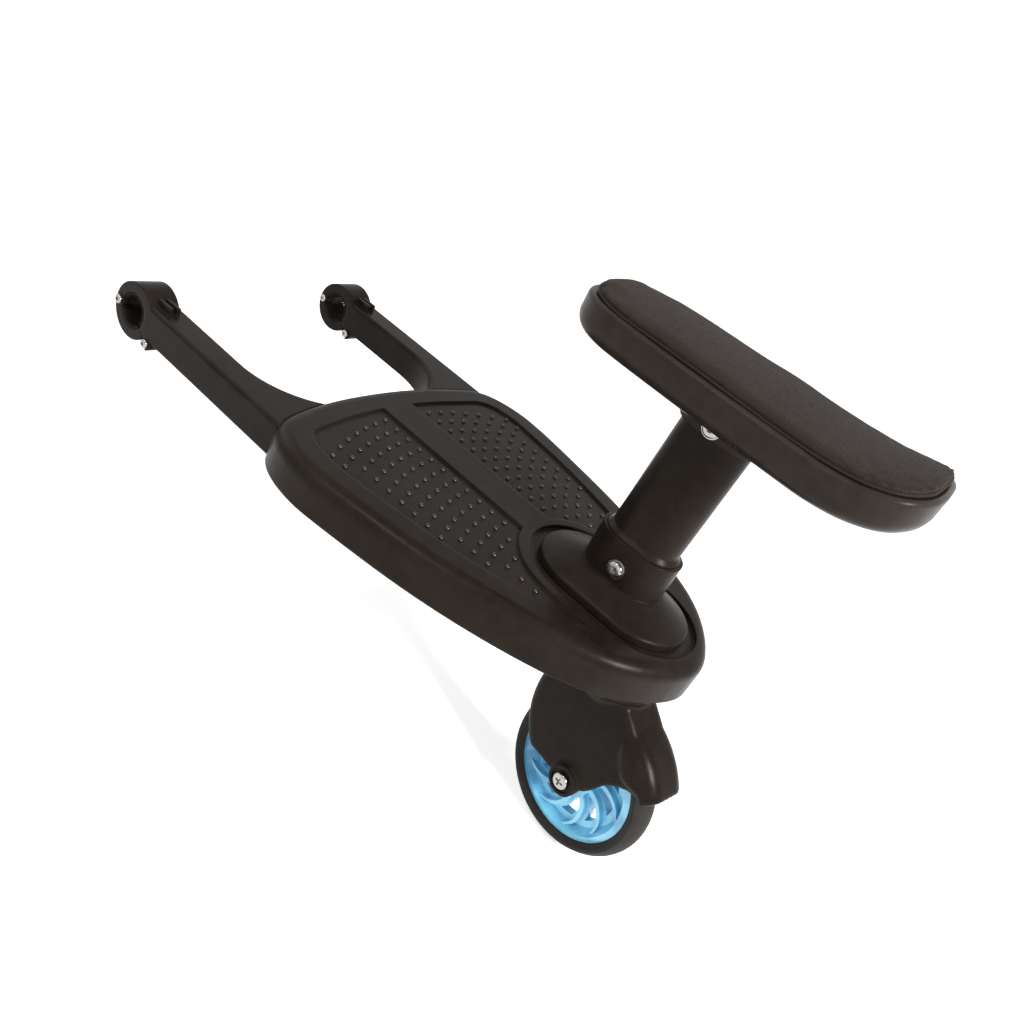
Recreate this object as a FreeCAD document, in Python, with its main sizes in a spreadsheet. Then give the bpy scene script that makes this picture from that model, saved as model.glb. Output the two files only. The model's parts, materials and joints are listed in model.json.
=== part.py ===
import FreeCAD, Part
import math
import operator
import os
from types import SimpleNamespace

import Sketcher
from FreeCAD import Placement, Rotation, Vector

# Buggy board: a standing plate that hangs by two tube clamps behind a pushchair, rolls on one
# caster and carries a saddle seat on a post. Y points forward to the pushchair, X to the right,
# Z up. The origin lies on the ground below the middle of the board.

# Driving dimensions, in millimetres and degrees
SIZES = {
    # Whole board
    "overall_length": 527.0,
    "deck_top_z": 190.0,
    "cut_over": 2.0,
    "seat_gap": 0.2,
    "arc_tolerance": 0.4,
    # Deck plate
    "deck_front_y": 100.0,
    "deck_length": 317.0,
    "deck_width": 261.0,
    "deck_depth": 30.0,
    "deck_wall": 5.0,
    "deck_plate": 6.0,
    "deck_round": 10.0,
    "deck_foot_bevel": 1.2,
    "rib_thick": 2.5,
    "rib_pitch": 42.0,
    "rib_lift": 4.0,
    # Stud panels
    "panel_inset": 24.0,
    "panel_depth": 1.8,
    "panel_bed": 1.0,
    "panel_lap": 0.5,
    "spine_width": 32.0,
    "groove_width": 8.0,
    "stud_pitch": 12.5,
    "stud_row_pitch": 12.2,
    "stud_front_y": 66.0,
    "stud_bow_radius": 203.0,
    "stud_radius": 1.7,
    "stud_height": 1.4,
    "stud_margin": 5.0,
    # Arms
    "arm_inset": 28.5,
    "arm_width": 24.0,
    "arm_top_z": 187.0,
    "arm_height": 24.5,
    "arm_root_depth": 55.0,
    "arm_edge_round": 3.0,
    "arm_wall": 3.5,
    "arm_fit": 0.15,
    "flare_start_y": 150.0,
    "flare_radius": 62.0,
    "flare_angle": 68.0,
    "grip_rib_width": 3.0,
    "grip_rib_length": 15.0,
    "grip_rib_height": 5.0,
    # Tube clamps
    "clamp_z": 174.0,
    "clamp_radius": 21.0,
    "clamp_bore_radius": 11.0,
    "liner_thick": 2.5,
    "liner_fit": 0.05,
    "liner_end_angle": 24.0,
    "hinge_reach": 16.8,
    "knuckle_radius": 4.6,
    "knuckle_gap": 0.3,
    "split_gap": 0.6,
    "lug_reach": 25.5,
    "lug_angle": 214.6,
    "lug_radius": 5.2,
    "lug_swing_angle": 45.0,
    "pin_radius": 2.0,
    "pin_fit": 0.05,
    "pin_head_radius": 3.4,
    "pin_head_height": 2.2,
    "clamp_nut_radius": 4.0,
    "clamp_nut_height": 3.2,
    # Screws
    "screw_radius": 2.0,
    "screw_head_radius": 4.0,
    "screw_head_height": 2.6,
    "screw_bite": 4.0,
    "arm_screw_bite": 1.8,
    "screw_fit": 0.1,
    # Seat pedestal and post
    "base_y": -139.0,
    "base_length": 116.0,
    "base_width": 76.0,
    "base_sink": 3.0,
    "base_edge": 6.0,
    "base_edge_round": 2.5,
    "stump_foot_z": 203.0,
    "stump_top_z": 232.0,
    "stump_length": 60.0,
    "stump_width": 40.0,
    "post_length": 50.0,
    "post_width": 34.0,
    "post_wall": 3.0,
    "post_lean": 3.5,
    "post_lip": 3.0,
    "post_lip_height": 4.0,
    "tenon_inset": 2.5,
    "tenon_depth": 26.0,
    "tenon_fit": 0.1,
    "base_bolt_z": 214.0,
    "cross_bolt_radius": 3.0,
    "cross_head_radius": 5.5,
    "cross_head_height": 3.0,
    "cross_washer_radius": 6.5,
    "cross_washer_thick": 1.2,
    "cross_nut_radius": 5.8,
    "cross_nut_height": 4.5,
    # Saddle
    "seat_bottom_z": 333.0,
    "seat_length": 233.0,
    "seat_width": 116.0,
    "seat_thick": 23.0,
    "seat_kick": 13.0,
    "seat_kick_run_share": 0.266,
    "seat_round_share": 0.0472,
    "seat_top_round": 2.5,
    "socket_height": 13.0,
    "socket_wall": 4.0,
    "socket_depth": 9.0,
    "pad_inset": 4.5,
    "pad_thick": 4.5,
    "pad_crown": 3.0,
    "pad_gap": 0.1,
    # Caster
    "swivel_y": -175.0,
    "trail": 20.0,
    "caster_yaw": -11.0,
    "boss_radius": 24.0,
    "boss_drop": 1.0,
    "kingpin_radius": 8.0,
    "bush_wall": 3.5,
    "bush_length": 17.0,
    "race_thick": 3.0,
    "race_radius": 22.0,
    "swivel_fit": 0.05,
    "swivel_gap": 0.15,
    "kingpin_nut_radius": 13.0,
    "kingpin_nut_height": 7.0,
    "kingpin_washer_radius": 14.0,
    "kingpin_washer_thick": 1.6,
    "nut_pocket_radius": 17.0,
    "crown_radius": 30.0,
    "crown_thick": 14.0,
    "crown_cone": 16.0,
    "fork_width": 40.0,
    "fork_gap": 28.0,
    "hood_radius": 70.0,
    "hood_clear": 4.5,
    "hood_round": 8.0,
    "wheel_room_round": 8.0,
    "fender_step": 1.6,
    "fender_rise": 3.0,
    "fender_round": 13.0,
    "cheek_boss_radius": 12.0,
    "cheek_boss_height": 3.0,
    # Wheel
    "wheel_diameter": 120.0,
    "tyre_width": 25.0,
    "tyre_crown_radius": 17.0,
    "tyre_shoulder": 5.5,
    "rim_radius": 48.5,
    "rim_width": 22.0,
    "rim_band": 4.5,
    "rim_bead": 2.0,
    "web_thick": 7.0,
    "spoke_rib_width": 4.0,
    "spoke_rib_height": 4.5,
    "spoke_count": 10,
    "hub_radius": 15.5,
    "hub_width": 24.0,
    "bearing_radius": 11.0,
    "bearing_width": 7.0,
    "bearing_race": 2.2,
    "bearing_groove": 0.8,
    "bearing_fit": 0.02,
    "axle_radius": 4.0,
    "axle_fit": 0.05,
    "axle_head_radius": 6.2,
    "axle_head_height": 3.6,
    "axle_head_round": 1.4,
    "axle_nut_radius": 7.5,
    "axle_nut_height": 6.0,
    "spacer_radius": 6.0,
    "spacer_gap": 0.15,
}

# Half outline of the deck from the rear middle to the front middle: share of the half width,
# and share of the length counted from the rear
DECK_OUTLINE_SHARES = [
    (0.0, 0.0), (0.26, 0.035), (0.46, 0.098), (0.598, 0.18), (0.766, 0.334), (0.897, 0.517),
    (0.973, 0.685), (1.0, 0.792), (0.969, 0.874), (0.866, 0.94), (0.674, 0.972),
    (0.345, 0.994), (0.0, 1.0),
]

# Half outline of the saddle from the rear middle to the front middle, shared the same way
SEAT_OUTLINE_SHARES = [
    (0.0, 0.0), (0.56, 0.012), (0.86, 0.062), (0.98, 0.16), (1.0, 0.32), (0.975, 0.55),
    (0.93, 0.76), (0.8, 0.91), (0.5, 0.983), (0.0, 1.0),
]

# Roof of the wheel hood, forward and up from the axle, as shares of the hood radius
HOOD_ROOF_SHARES = [
    (0.68, 0.0), (0.81, 0.24), (0.87, 0.52), (0.84, 0.84), (0.65, 1.12), (0.3, 1.25),
    (-0.08, 1.13), (-0.36, 0.95), (-0.6, 0.79), (-0.82, 0.58),
]

# Lower edge of the cheeks, from the rear lip to the front tip, as shares of the hood radius
CHEEK_EDGE_SHARES = [
    (-0.74, 0.51), (-0.625, 0.53), (-0.472, 0.455), (-0.356, 0.33), (-0.272, 0.15), (-0.15, 0.0),
    (0.0, -0.06), (0.2, -0.08), (0.56, -0.1),
]

# Lower and front edge of the raised fender, from the lip forward and up into the roof, as shares
# of the hood radius
FENDER_EDGE_SHARES = [
    (-0.745, 0.57), (-0.625, 0.585), (-0.48, 0.575), (-0.36, 0.67), (-0.28, 0.82), (-0.27, 0.93),
]

# Wheel spokes: lean from hub to band, bow of the middle, reach of the flat web and of a
# window, width of a window against the pitch, and the window's own lean from its inner to its outer end
SPOKE_LEAN_ANGLE = 42.0
SPOKE_BOW_SHARE = 0.3
WEB_REACH_SHARE = 0.85
WINDOW_REACH_SHARE = 0.68
WINDOW_SHARE = 0.44
WINDOW_ROOT_SHARE = 1.2
WINDOW_LEAN_SHARES = (0.04, 0.22, 0.5)

# Arm screws from the arm's centre line and the deck's front edge, as shares of arm width and root
ARM_SCREW_SHARES = [(-0.55, 0.55), (0.3, 0.55), (-0.15, 0.82)]

# Pedestal screws, as shares of the half length and half width of its flange
BASE_SCREW_SHARES = [(0.62, 0.45), (0.62, -0.45), (-0.1, 0.72), (-0.1, -0.72)]

# Pad screws along the seat, as shares of its length counted from the rear
PAD_SCREW_SHARES = [0.2, 0.82]

OPERATORS = {"+": operator.add, "-": operator.sub, "*": operator.mul, "/": operator.truediv}


class Size:
    """A dimension that keeps its value and the sheet expression it comes from."""

    def __init__(self, value, text):
        self.value = float(value)
        self.text = text

    def __float__(self):
        return self.value

    def __add__(self, other):
        return combine(self, "+", other)

    def __radd__(self, other):
        return combine(other, "+", self)

    def __sub__(self, other):
        return combine(self, "-", other)

    def __rsub__(self, other):
        return combine(other, "-", self)

    def __mul__(self, other):
        return combine(self, "*", other)

    def __rmul__(self, other):
        return combine(other, "*", self)

    def __truediv__(self, other):
        return combine(self, "/", other)

    def __neg__(self):
        return combine(0, "-", self)


def as_size(item):
    return item if isinstance(item, Size) else Size(item, repr(item))


def combine(left, sign, right):
    left, right = as_size(left), as_size(right)
    value = OPERATORS[sign](left.value, right.value)
    return Size(value, f"({left.text} {sign} {right.text})")


doc = FreeCAD.newDocument("BuggyBoard")
sheet = doc.addObject("Spreadsheet::Sheet", "Dims")
for row, (alias, number) in enumerate(SIZES.items(), start=1):
    sheet.set(f"A{row}", alias)
    sheet.set(f"B{row}", str(number))
    sheet.setAlias(f"B{row}", alias)
doc.recompute()
d = SimpleNamespace(**{alias: Size(sheet.get(alias), f"Dims.{alias}") for alias in SIZES})

# Places that follow from the driving dimensions
wheel_radius = d.wheel_diameter / 2
deck_bottom_z = d.deck_top_z - d.deck_depth
deck_under_z = d.deck_top_z - d.deck_plate
deck_rear_y = d.deck_front_y - d.deck_length
arm_x = d.deck_width / 2 - d.arm_inset
arm_bottom_z = d.arm_top_z - d.arm_height
shell_bore = d.clamp_bore_radius + d.liner_thick
clamp_y = d.overall_length / 2 - d.hinge_reach - d.knuckle_radius
knuckle_width = d.arm_width / 3
seat_rear_y = -(d.overall_length / 2)
seat_top_z = d.seat_bottom_z + d.seat_thick
seat_kick_run = d.seat_length * d.seat_kick_run_share
seat_round = d.seat_length * d.seat_round_share
base_floor_z = d.deck_top_z - d.base_sink
crown_top_z = deck_bottom_z - d.boss_drop - d.race_thick - 2 * d.swivel_gap

UP = Vector(0, 0, 1)
ALONG_X = Rotation(UP, Vector(1, 0, 0))
NODES = []


def vec(x=0, y=0, z=0):
    return Vector(float(x), float(y), float(z))


def bind(obj, **sizes):
    for prop, size in sizes.items():
        obj.setExpression(prop, as_size(size).text)
    return obj


def keep(obj, label, place=None):
    obj.Label = label
    if place is not None:
        obj.Placement = place
    NODES.append(obj)
    return obj


def formed(label, shape, place=Placement()):
    obj = doc.addObject("Part::Feature", label)
    obj.Shape = shape
    return keep(obj, label, place)


def primitive(kind, label, place=Placement(), **sizes):
    obj = bind(doc.addObject(kind, label), **sizes)
    obj.Placement = place
    return obj


def boolean(kind, label, base, tool):
    obj = doc.addObject(kind, label)
    obj.Base = base
    obj.Tool = tool
    return obj


def fix_point(sketch, index, position, x, y):
    # Ties one end of a sketch line to the sketch origin by two named distances
    for axis, on_axis, size in (("DistanceX", -2, as_size(x)), ("DistanceY", -1, as_size(y))):
        if size.value == 0:
            sketch.addConstraint(Sketcher.Constraint("PointOnObject", index, position, on_axis))
            continue
        ends = (-1, 1, index, position) if size.value > 0 else (index, position, -1, 1)
        number = sketch.addConstraint(Sketcher.Constraint(axis, *ends, abs(size.value)))
        text = size.text if size.value > 0 else f"-({size.text})"
        sketch.setExpression(f"Constraints[{number}]", text)


def profile(body, role, corners):
    # A closed sketch; a corner with a third value starts an arc of that radius, turning left
    sketch = body.newObject("Sketcher::SketchObject", body.Name + "_profile")
    plane = [item for item in body.Origin.OriginFeatures if item.Role == role][0]
    sketch.AttachmentSupport = [(plane, "")]
    sketch.MapMode = "FlatFace"
    for index, corner in enumerate(corners):
        following = corners[(index + 1) % len(corners)]
        start, end = vec(*corner[:2]), vec(*following[:2])
        if len(corner) == 2:
            sketch.addGeometry(Part.LineSegment(start, end), False)
            continue
        radius = float(corner[2])
        chord = end - start
        rise = math.sqrt(radius ** 2 - (chord.Length / 2) ** 2)
        centre = (start + end) * 0.5 + Vector(-chord.y, chord.x, 0).normalize() * rise
        angles = [math.atan2((p - centre).y, (p - centre).x) for p in (start, end)]
        sketch.addGeometry(Part.ArcOfCircle(Part.Circle(centre, UP, radius), *angles), False)
    for index, corner in enumerate(corners):
        following = (index + 1) % len(corners)
        sketch.addConstraint(Sketcher.Constraint("Coincident", index, 2, following, 1))
        fix_point(sketch, index, 1, *corner[:2])
        if len(corner) == 3:
            radius = as_size(corner[2])
            number = sketch.addConstraint(Sketcher.Constraint("Radius", index, radius.value))
            sketch.setExpression(f"Constraints[{number}]", radius.text)
    return sketch


def turned_body(label, corners, place):
    # A body of revolution about its own Z axis; corners are radius and height
    body = doc.addObject("PartDesign::Body", label)
    sketch = profile(body, "XZ_Plane", corners)
    turn = body.newObject("PartDesign::Revolution", label + "_turn")
    turn.Profile = sketch
    turn.ReferenceAxis = (sketch, ["V_Axis"])
    turn.Angle = 360
    body.Placement = place
    return body


def turned(label, corners, place):
    return keep(turned_body(label, corners, place), label)


def ring(label, inner, outer, width, place):
    corners = [(inner, 0), (outer, 0), (outer, width), (inner, width)]
    return turned(label, corners, place)


def headed(head_radius, head_height, shank_radius, shank_length):
    # Half section of a screw whose head starts at zero and whose shank runs up the axis
    tip = head_height + shank_length
    return [(0, 0), (head_radius, 0), (head_radius, head_height), (shank_radius, head_height),
            (shank_radius, tip), (0, tip)]


def hex_nut(label, radius, height, bore, place):
    blank = primitive("Part::Prism", label + "_blank", Circumradius=radius, Height=height)
    hole = primitive("Part::Cylinder", label + "_hole", Radius=bore, Height=height)
    return keep(boolean("Part::Cut", label, blank, hole), label, place)


def copies(label, screw, places):
    # Identical screws as one group of separate solids
    screw.recompute(True)
    shapes = []
    for place in places:
        shape = screw.Shape.copy()
        shape.Placement = place
        shapes.append(shape)
    return formed(label, Part.makeCompound(shapes))


def box(x0, x1, y0, y1, z0, z1):
    corner, far = vec(x0, y0, z0), vec(x1, y1, z1)
    return Part.makeBox(far.x - corner.x, far.y - corner.y, far.z - corner.z, corner)


def rod(radius, x0, x1, y, z):
    # A cylinder along X
    return Part.makeCylinder(float(radius), float(x1) - float(x0), vec(x0, y, z), vec(1))


def post_rod(radius, y, z0, z1):
    # An upright cylinder on the middle plane
    return Part.makeCylinder(float(radius), float(z1) - float(z0), vec(0, y, z0))


def open_curve(points):
    curve = Part.BSplineCurve()
    curve.interpolate(points)
    return curve


def closed_curve(points):
    curve = Part.BSplineCurve()
    curve.interpolate(Points=points, PeriodicFlag=True)
    return curve


def plan_wire(shares, half_width, rear_y, length, inset=0):
    # Mirrored plan outline, drawn in by an even inset; it starts halfway along one flat side
    right = [vec(half_width * x, rear_y + length * y) for x, y in shares]
    left = [Vector(-p.x, p.y, 0) for p in reversed(right[1:-1])]
    start = len(right) // 2
    points = right[start:] + left + right[:start]
    curve = closed_curve(points)
    if float(inset) != 0:
        drawn_in = []
        for point in points:
            tangent = curve.tangent(curve.parameter(point))[0]
            drawn_in.append(point + Vector(-tangent.y, tangent.x, 0) * float(inset))
        curve = closed_curve(drawn_in)
    return Part.Wire([arc.toShape() for arc in curve.toBiArcs(float(d.arc_tolerance))])


def prism(wire, z0, z1):
    face = Part.Face(wire)
    face.translate(vec(0, 0, z0))
    return face.extrude(vec(0, 0, float(z1) - float(z0)))


def deck_prism(inset, z0, z1):
    wire = plan_wire(DECK_OUTLINE_SHARES, d.deck_width / 2, deck_rear_y, d.deck_length, inset)
    return prism(wire, z0, z1)


def seat_prism(inset, z0, z1):
    wire = plan_wire(SEAT_OUTLINE_SHARES, d.seat_width / 2, seat_rear_y, d.seat_length, inset)
    return prism(wire, z0, z1)


def stadium(length, width, y, z):
    # Outline with straight sides and round ends, long along Y
    half = float(width) / 2
    straight = float(length) / 2 - half
    centre = vec(0, y, z)
    right, left = Vector(half, 0, 0), Vector(-half, 0, 0)
    front, rear = Vector(0, straight, 0), Vector(0, -straight, 0)
    tip, tail = Vector(0, straight + half, 0), Vector(0, -straight - half, 0)
    return Part.Wire([
        Part.LineSegment(centre + right + rear, centre + right + front).toShape(),
        Part.Arc(centre + right + front, centre + tip, centre + left + front).toShape(),
        Part.LineSegment(centre + left + front, centre + left + rear).toShape(),
        Part.Arc(centre + left + rear, centre + tail, centre + right + rear).toShape(),
    ])


def stadium_prism(length, width, y, z0, z1):
    return Part.Face(stadium(length, width, y, z0)).extrude(vec(0, 0, float(z1) - float(z0)))


def sector(r0, r1, a0, a1, x0, x1, y=0, z=0):
    # Part of a ring about an axis along X, from angle a0 to a1 in degrees, 0 forward and 90 up
    def at(radius, angle):
        turn = math.radians(float(angle))
        return vec(x0, float(y) + float(radius) * math.cos(turn),
                   float(z) + float(radius) * math.sin(turn))

    middle = (float(a0) + float(a1)) / 2
    wire = Part.Wire([
        Part.LineSegment(at(r0, a0), at(r1, a0)).toShape(),
        Part.Arc(at(r1, a0), at(r1, middle), at(r1, a1)).toShape(),
        Part.LineSegment(at(r1, a1), at(r0, a1)).toShape(),
        Part.Arc(at(r0, a1), at(r0, middle), at(r0, a0)).toShape(),
    ])
    return Part.Face(wire).extrude(vec(float(x1) - float(x0)))


def edges_at(shape, z):
    # Edges that lie flat at one height
    near = float(d.liner_fit)
    return [e for e in shape.Edges
            if abs(e.BoundBox.ZMin - float(z)) < near and abs(e.BoundBox.ZMax - float(z)) < near]


def arm_plan(grow=0):
    # Plan of the right arm: straight bar to the clamp, flared root that enters the deck
    outer = float(arm_x + d.arm_width / 2) + float(grow)
    inner = float(arm_x - d.arm_width / 2) - float(grow)
    front = float(clamp_y - shell_bore)
    root = float(d.deck_front_y - d.arm_root_depth) - float(grow)
    bend = float(d.flare_radius) - float(grow)
    start = float(d.flare_start_y)
    centre = Vector(inner - bend, start, 0)
    swing = math.radians(float(d.flare_angle))

    def on_flare(angle):
        return centre + Vector(math.cos(angle), -math.sin(angle), 0) * bend

    foot = on_flare(swing)
    return Part.Face(Part.Wire([
        Part.LineSegment(Vector(outer, front, 0), Vector(inner, front, 0)).toShape(),
        Part.LineSegment(Vector(inner, front, 0), on_flare(0)).toShape(),
        Part.Arc(on_flare(0), on_flare(swing / 2), foot).toShape(),
        Part.LineSegment(foot, Vector(foot.x, root, 0)).toShape(),
        Part.LineSegment(Vector(foot.x, root, 0), Vector(outer, root, 0)).toShape(),
        Part.LineSegment(Vector(outer, root, 0), Vector(outer, front, 0)).toShape(),
    ]))


def arm_bar(z0, z1, grow=0):
    face = arm_plan(grow)
    face.translate(vec(0, 0, z0))
    return face.extrude(vec(0, 0, float(z1) - float(z0)))


def mirrored(shape):
    return shape.mirror(Vector(0, 0, 0), Vector(1, 0, 0))


def arm_screw_spots():
    spots = []
    for across, back in ARM_SCREW_SHARES:
        x = arm_x + d.arm_width * across
        y = d.deck_front_y - d.arm_root_depth * back
        spots += [(x, y), (-x, y)]
    return spots


def base_screw_spots():
    return [(d.base_width / 2 * across, d.base_y + d.base_length / 2 * along)
            for along, across in BASE_SCREW_SHARES]


# The clamp is drawn about its bore at the origin, and placed at the end of each arm

def hinge_spot():
    return float(d.hinge_reach), 0.0


def lug_spot():
    turn = math.radians(float(d.lug_angle))
    return float(d.lug_reach) * math.cos(turn), float(d.lug_reach) * math.sin(turn)


def split_angle():
    # Angle that half of the split gap takes up at the outside of the clamp
    return math.degrees(float(d.split_gap) / 2 / float(d.clamp_radius))


def middle_span(grow=0):
    half = float(knuckle_width) / 2 + float(grow)
    return -half, half


def outer_spans():
    half = float(d.arm_width) / 2
    inner = float(knuckle_width) / 2
    return [(-half, -inner), (inner, half)]


def lug_swing(radius, x0, x1):
    # Room swept about the hinge by something round that leaves the lug downwards
    hinge_y, hinge_z = hinge_spot()
    lug_y, lug_z = lug_spot()
    reach = math.hypot(lug_y - hinge_y, lug_z - hinge_z)
    start = math.degrees(math.atan2(lug_z - hinge_z, lug_y - hinge_y)) % 360
    end = start + float(d.lug_swing_angle)
    path = sector(reach - float(radius), reach + float(radius), start, end, x0, x1, *hinge_spot())
    return path.fuse(rod(radius, x0, x1, lug_y, lug_z))


def clamp_shell():
    # Fixed upper half of the clamp with its outer hinge knuckles and open-slotted lugs
    half = d.arm_width / 2
    gap = split_angle()
    shell = sector(shell_bore, d.clamp_radius, gap, float(d.lug_angle) - gap, -half, half)
    for x0, x1 in outer_spans():
        shell = shell.fuse([rod(d.knuckle_radius, x0, x1, *hinge_spot()),
                            rod(d.lug_radius, x0, x1, *lug_spot())])
    return shell


def clamp_room():
    # All that the shell and the arm leave free: bore, jaw knuckle, hinge pin and the bolt's way out
    half = float(d.arm_width / 2 + d.cut_over)
    over_middle = middle_span(d.knuckle_gap / 2)
    knuckle = rod(d.knuckle_radius + d.knuckle_gap, *over_middle, *hinge_spot())
    lug = lug_swing(d.lug_radius + d.knuckle_gap, *over_middle)
    bolt = lug_swing(d.pin_radius + d.knuckle_gap, -half, half)
    pin = rod(d.pin_radius + d.pin_fit, -half, half, *hinge_spot())
    bore = rod(shell_bore, -half, half, 0, 0)
    gap = split_angle()
    jaw_side = sector(shell_bore / 2, d.clamp_radius + d.knuckle_gap, float(d.lug_angle) - gap,
                      360 + gap, -half, half)
    keep_knuckles = [rod(d.knuckle_radius, x0, x1, *hinge_spot()) for x0, x1 in outer_spans()]
    return jaw_side.cut(keep_knuckles).fuse([knuckle, lug, bolt, pin, bore])


def clamp_jaw():
    # Hinged lower half of the clamp
    half = d.arm_width / 2
    gap = split_angle()
    start, end = float(d.lug_angle) + gap, 360 - gap
    jaw = sector(shell_bore, d.clamp_radius, start, end, -half, half)
    lug_y, lug_z = lug_spot()
    web_turn = math.degrees(float(d.lug_radius) / float(d.lug_reach))
    web = sector(d.clamp_radius - d.liner_thick, d.lug_reach, start, start + web_turn,
                 *middle_span())
    room = [rod(d.knuckle_radius + d.knuckle_gap, x0, x1, *hinge_spot())
            for x0, x1 in outer_spans()]
    lug_room = [rod(d.lug_radius + d.knuckle_gap, x0, x1, lug_y, lug_z)
                for x0, x1 in outer_spans()]
    over = float(half + d.cut_over)
    jaw = jaw.cut(room + lug_room)
    jaw = jaw.fuse([web, rod(d.knuckle_radius, *middle_span(), *hinge_spot()),
                    rod(d.lug_radius, *middle_span(), lug_y, lug_z)])
    holes = [rod(d.pin_radius + d.pin_fit, -over, over, *hinge_spot()),
             rod(d.pin_radius + d.pin_fit, -over, over, lug_y, lug_z),
             rod(shell_bore, -over, over, 0, 0)]
    return jaw.cut(holes).removeSplitter()


def deck_shoulder():
    # The deck above the arm roots, a little larger all round
    top = d.deck_top_z + d.arm_fit
    block = deck_prism(-d.arm_fit, deck_bottom_z, top)
    block = block.makeFillet(float(d.deck_round + d.arm_fit), edges_at(block, top))
    return block.cut(deck_prism(-d.deck_wall, deck_bottom_z - d.cut_over, deck_under_z))


def make_arm(label, side):
    bar = arm_bar(arm_bottom_z, d.arm_top_z)
    bar = bar.makeFillet(float(d.arm_edge_round), edges_at(bar, d.arm_top_z))
    # The root slips under the deck plate, and its upper part ends on the deck's rounded shoulder
    bar = bar.cut(deck_shoulder())
    inner, outer = arm_x - d.arm_width / 2, arm_x + d.arm_width / 2
    hollow = box(inner + d.arm_wall, outer - d.arm_wall, d.deck_front_y + d.deck_round,
                 clamp_y - d.clamp_radius - d.arm_wall,
                 arm_bottom_z - d.cut_over, d.arm_top_z - d.arm_wall)
    length = float(clamp_y - d.clamp_radius - d.arm_wall - d.deck_front_y - d.deck_round)
    webs = []
    for step in (1, 2, 3):
        y = float(d.deck_front_y + d.deck_round) + length * step / 4
        webs.append(box(inner, outer, y - float(d.rib_thick / 2), y + float(d.rib_thick / 2),
                        arm_bottom_z + d.rib_lift, d.arm_top_z - d.arm_wall))
    at_clamp = vec(arm_x, clamp_y, d.clamp_z)
    shell = clamp_shell()
    shell.translate(at_clamp)
    room = clamp_room()
    room.translate(at_clamp)
    ribs = []
    for share in (-1, 1):
        x = arm_x + d.grip_rib_width * share
        y = clamp_y - shell_bore
        ribs.append(box(x - d.grip_rib_width / 2, x + d.grip_rib_width / 2, y - d.grip_rib_length, y,
                        d.arm_top_z - d.arm_wall, d.arm_top_z + d.grip_rib_height))
    arm = bar.cut(hollow.cut(webs)).fuse([shell] + ribs).cut(room)
    holes = []
    for x, y in arm_screw_spots()[::2]:
        holes += screw_hole(x, y, arm_bottom_z, deck_under_z)
    arm = arm.cut(holes).removeSplitter()
    return formed(label, arm if side > 0 else mirrored(arm))


def screw_hole(x, y, head_z, tip_z):
    # Clearance hole with a sunk seat for the head, driven from below
    radius = float(d.screw_radius + d.screw_fit)
    seat = float(d.screw_head_radius + d.screw_fit)
    below = float(d.cut_over)
    return [
        Part.makeCylinder(radius, float(tip_z) - float(head_z) + 2 * below,
                          vec(x, y, float(head_z) - below)),
        Part.makeCylinder(seat, float(d.screw_head_height) + below,
                          vec(x, y, float(head_z) - below)),
    ]


def deck_ribs():
    # Lattice of ribs below the plate, clipped to the inside of the skirt
    span = float(d.deck_width)
    half = float(d.rib_thick) / 2
    low, high = deck_bottom_z + d.rib_lift, deck_under_z + d.cut_over
    ribs = []
    count = int(span / 2 / float(d.rib_pitch))
    for step in range(-count, count + 1):
        x = step * float(d.rib_pitch)
        ribs.append(box(x - half, x + half, deck_rear_y, d.deck_front_y, low, high))
    y = float(deck_rear_y) + float(d.rib_pitch)
    while y < float(d.deck_front_y):
        ribs.append(box(-span / 2, span / 2, y - half, y + half, low, high))
        y += float(d.rib_pitch)
    clip = deck_prism(d.deck_wall / 2, low, deck_under_z + d.deck_plate / 2)
    return ribs[0].fuse(ribs[1:]).common(clip)


def stud_panels(low, high, grow=0):
    # The two fields left and right of the spine, ending at the groove round the pedestal
    field = deck_prism(d.panel_inset - grow, low, high)
    half = d.spine_width / 2 - grow
    spine = box(-half, half, deck_rear_y, d.deck_front_y, low, high)
    around = 4 * d.groove_width - 2 * grow
    island = stadium_prism(d.base_length + around, d.base_width + around, d.base_y, low, high)
    return field.cut([spine, island])


def stud_plates():
    # Floors of the two panels with their studs, let a little into the deck on every side
    floor_z = d.deck_top_z - d.panel_depth
    plates = stud_panels(floor_z - d.panel_bed - d.panel_lap, floor_z, d.panel_lap)
    return plates.fuse(Part.makeCompound(studs()))


def studs():
    # Low eight-sided studs on bowed rows, wherever a whole stud fits on a panel
    floor_z = float(d.deck_top_z - d.panel_depth)
    room = deck_prism(d.panel_inset + d.stud_margin, floor_z, d.deck_top_z)
    island = stadium_prism(d.base_length + 4 * d.groove_width + 2 * d.stud_margin,
                           d.base_width + 4 * d.groove_width + 2 * d.stud_margin,
                           d.base_y, floor_z, d.deck_top_z)
    room = room.cut(island)
    found = []
    columns = int(float(d.deck_width) / 2 / float(d.stud_pitch))
    rows = int(float(d.deck_length) / float(d.stud_row_pitch))
    for column in range(2, columns):
        x = column * float(d.stud_pitch)
        bow = float(d.stud_bow_radius) - math.sqrt(float(d.stud_bow_radius) ** 2 - x ** 2)
        for row_number in range(rows):
            y = float(d.stud_front_y) - row_number * float(d.stud_row_pitch) - bow
            if room.isInside(vec(x, y, floor_z + float(d.stud_height) / 2), 0.0, False):
                found += [stud(x, y, floor_z), stud(-x, y, floor_z)]
    return found


def stud(x, y, floor_z):
    radius, height, sunk = float(d.stud_radius), float(d.stud_height), float(d.panel_depth) / 4

    def loop(share, z):
        turns = [math.radians(angle) for angle in range(0, 361, 45)]
        return Part.makePolygon([vec(x + radius * share * math.cos(turn),
                                     y + radius * share * math.sin(turn), z) for turn in turns])

    return Part.makeLoft([loop(1, floor_z - sunk), loop(1 / 2, floor_z + height)], True, True)


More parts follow.
